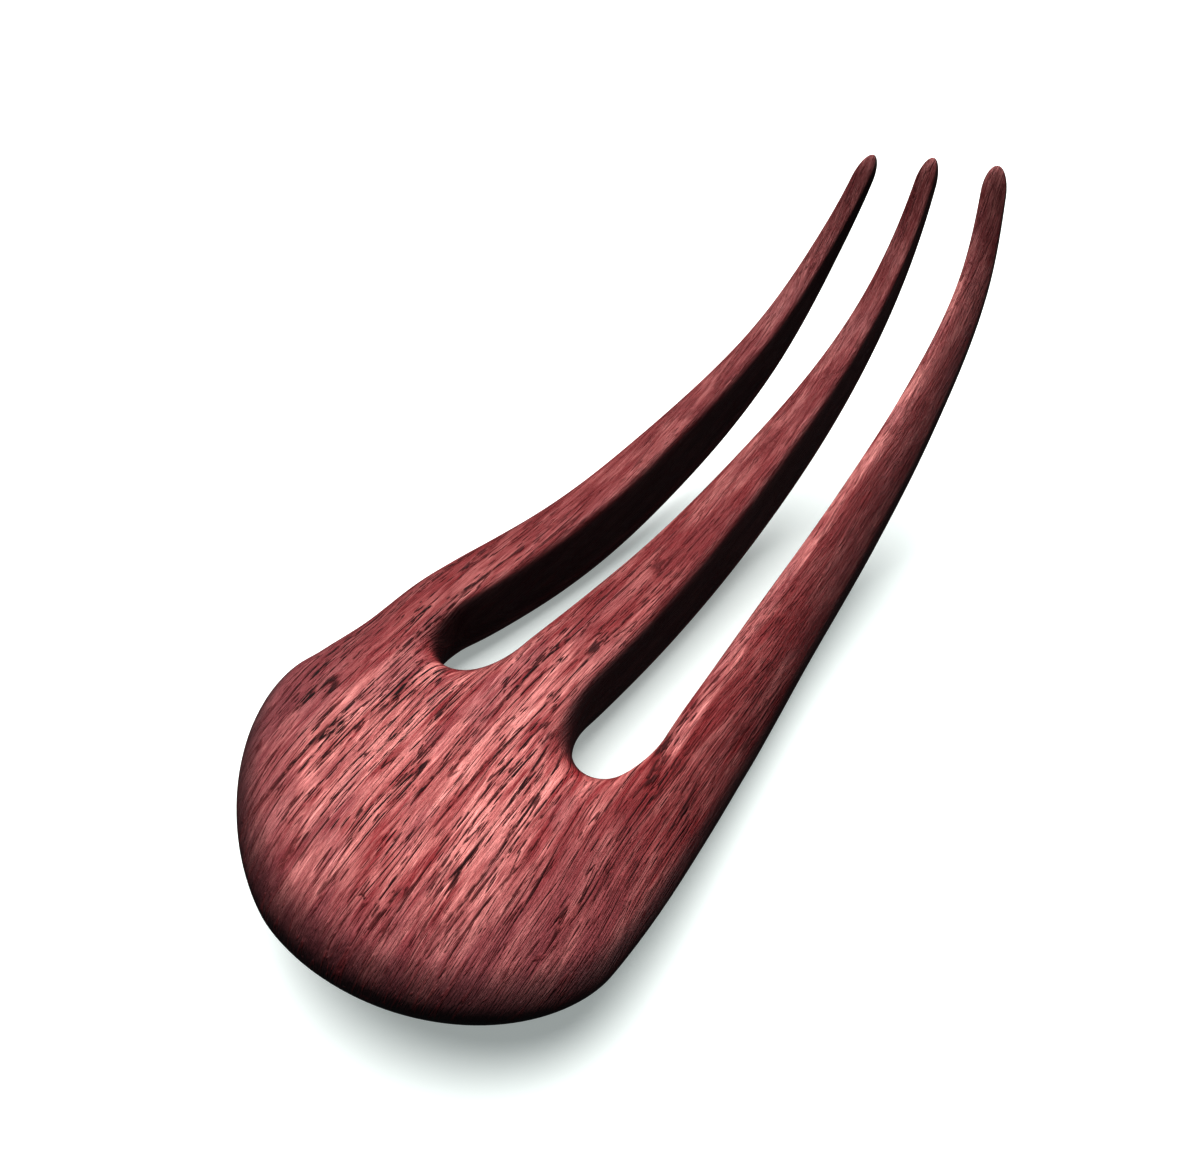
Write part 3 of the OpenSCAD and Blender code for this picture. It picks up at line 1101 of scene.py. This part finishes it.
@dataclass
class HairFork:
    """The whole fork: its carved skin dressed in oiled wood."""

    skin: CarvedSkin = field(default_factory=CarvedSkin)
    wood: OiledPadauk = field(default_factory=OiledPadauk)

    def build(self) -> bpy.types.Object:
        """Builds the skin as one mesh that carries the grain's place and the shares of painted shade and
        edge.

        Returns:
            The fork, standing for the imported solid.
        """
        points, faces, grain = self.skin.build()
        fork = mesh_object("carved_fork", points, faces, self.wood.make())
        place = fork.data.attributes.new("grain_place", "FLOAT_VECTOR", "POINT")
        place.data.foreach_set("vector", grain[:, :3].astype(np.float32).ravel())
        for column, name in enumerate(("shade_share", "edge_share"), start=3):
            share = fork.data.attributes.new(name, "FLOAT", "POINT")
            share.data.foreach_set("value", grain[:, column].astype(np.float32))
        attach(fork, "root")
        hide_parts("hair_fork")
        LOG.info("carved fork: %d points, %d triangles", len(points), len(faces))
        return fork


@dataclass
class Studio:
    """Pale ground, one large soft light and a faint sky."""

    ground_radius: float = 6.0
    ground_sides: int = 96
    key_spread: float = 80.0
    key_azimuth: float = 50.0
    key_elevation: float = 60.0
    key_strength: float = 6.9
    sky: str = "#CFE0E8"
    sky_strength: float = 0.085
    backdrop: str = "#FFFFFF"
    backdrop_strength: float = 1.1
    display_gamma: float = 0.8

    def ground(self) -> bpy.types.Object:
        """A flat disc of triangles round its middle.

        Returns:
            The ground.
        """
        around = np.linspace(0, 2 * pi, self.ground_sides, endpoint=False)
        rim = self.ground_radius * np.stack([np.cos(around), np.sin(around), np.zeros_like(around)], 1)
        ids = np.arange(self.ground_sides) + 1
        faces = np.stack([np.zeros_like(ids), ids, np.roll(ids, -1)], 1)
        points = np.concatenate([np.zeros((1, 3)), rim])
        floor = mesh_object("pale_ground", points, faces, PaleCard().make())
        floor.visible_diffuse = False
        floor.visible_glossy = False
        return floor

    def key(self) -> bpy.types.Object:
        """The window's light: parallel on the whole, but spread so widely that its shadows are soft.

        Returns:
            The light.
        """
        lamp = bpy.data.lights.new("window_light", "SUN")
        lamp.angle = radians(self.key_spread)
        lamp.energy = self.key_strength
        azimuth, elevation = radians(self.key_azimuth), radians(self.key_elevation)
        flat = cos(elevation)
        away = Vector((-sin(azimuth) * flat, cos(azimuth) * flat, sin(elevation)))
        light = bpy.data.objects.new("window_light", lamp)
        light.location = away
        light.rotation_euler = (-away).to_track_quat("-Z", "Y").to_euler()
        bpy.context.scene.collection.objects.link(light)
        return light

    def sky_light(self) -> None:
        """Faint even light from all round, behind which the eye sees a white backdrop."""
        world = bpy.data.worlds.new("soft_sky")
        bench = NodeBench(world)
        sky = {"Color": self.sky, "Strength": self.sky_strength}
        backdrop = {"Color": self.backdrop, "Strength": self.backdrop_strength}
        lit = bench.add("ShaderNodeBackground", sky).outputs[0]
        seen = bench.add("ShaderNodeBackground", backdrop).outputs[0]
        eye = bench.add("ShaderNodeLightPath").outputs["Is Camera Ray"]
        both = bench.add("ShaderNodeMixShader", {0: eye, 1: lit, 2: seen}).outputs[0]
        bench.add("ShaderNodeOutputWorld", {"Surface": both})
        bpy.context.scene.world = world

    def build(self) -> None:
        """Sets up ground, light and sky, and the plain colour transform that keeps the wood's red."""
        self.ground()
        self.key()
        self.sky_light()
        view = bpy.context.scene.view_settings
        view.view_transform = "Standard"
        view.gamma = self.display_gamma


@dataclass(frozen=True)
class PhotoCamera:
    """The camera, close over the head's right shoulder and looking along the tines."""

    place_mm: tuple[float, float, float] = (41.1, -59.5, 66.2)
    azimuth: float = 44.0
    elevation: float = 41.4
    roll: float = -4.4
    focal_pixels: float = 790.6
    frame_pixels: float = 1200.0
    sensor_mm: float = 36.0

    def build(self) -> bpy.types.Object:
        """Makes the scene's camera.

        Returns:
            The camera.
        """
        data = bpy.data.cameras.new("photo_camera")
        data.sensor_width = self.sensor_mm
        data.lens = self.focal_pixels / self.frame_pixels * self.sensor_mm
        data.clip_start = MM
        camera = bpy.data.objects.new("photo_camera", data)
        turn = Matrix.Rotation(radians(self.azimuth), 3, "Z")
        tilt = Matrix.Rotation(radians(90 - self.elevation), 3, "X")
        roll = Matrix.Rotation(radians(self.roll), 3, "Z")
        camera.rotation_euler = (turn @ tilt @ roll).to_euler()
        camera.location = Vector(self.place_mm) * MM
        bpy.context.scene.collection.objects.link(camera)
        bpy.context.scene.camera = camera
        return camera


def main() -> None:
    """Loads the frame, builds the fork, the studio and the camera."""
    logging.basicConfig(level=logging.INFO, format="%(message)s")
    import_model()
    HairFork().build()
    Studio().build()
    PhotoCamera().build()


if __name__ == "__main__":
    main()
